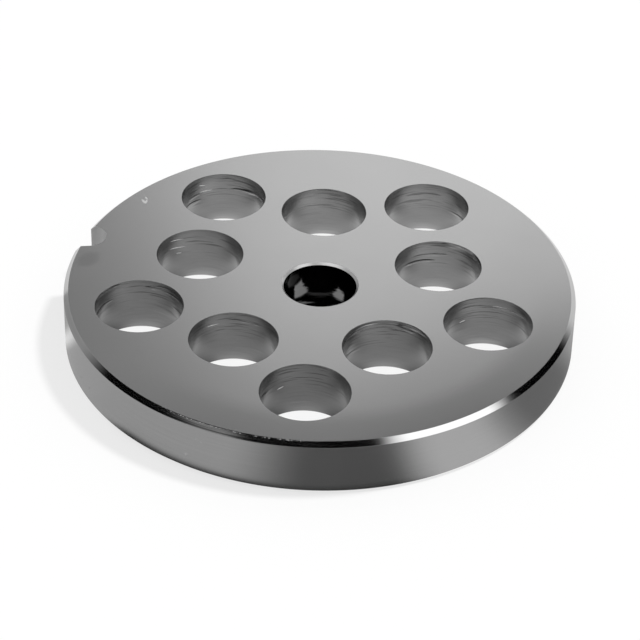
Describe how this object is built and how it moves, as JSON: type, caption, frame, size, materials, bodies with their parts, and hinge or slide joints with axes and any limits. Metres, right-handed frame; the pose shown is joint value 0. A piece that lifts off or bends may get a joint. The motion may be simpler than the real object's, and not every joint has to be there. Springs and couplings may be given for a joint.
{
  "type": "meat grinder plate",
  "caption": "Flat round grinder plate with through holes in two staggered rings, a centre bore and a key notch in its rim.",
  "frame": {"origin": "centre of the bore on the outlet face, which the plate lies on", "axes": "+Z along the bore towards the cutting face; the key notch is on -X"},
  "size_m": [0.0699, 0.07, 0.008],
  "materials": {
    "ground_steel": "ground faces, turned rim, drilled holes"
  },
  "bodies": {
    "root": {"grinder_plate": "ground_steel"}
  },
  "joints": []
}
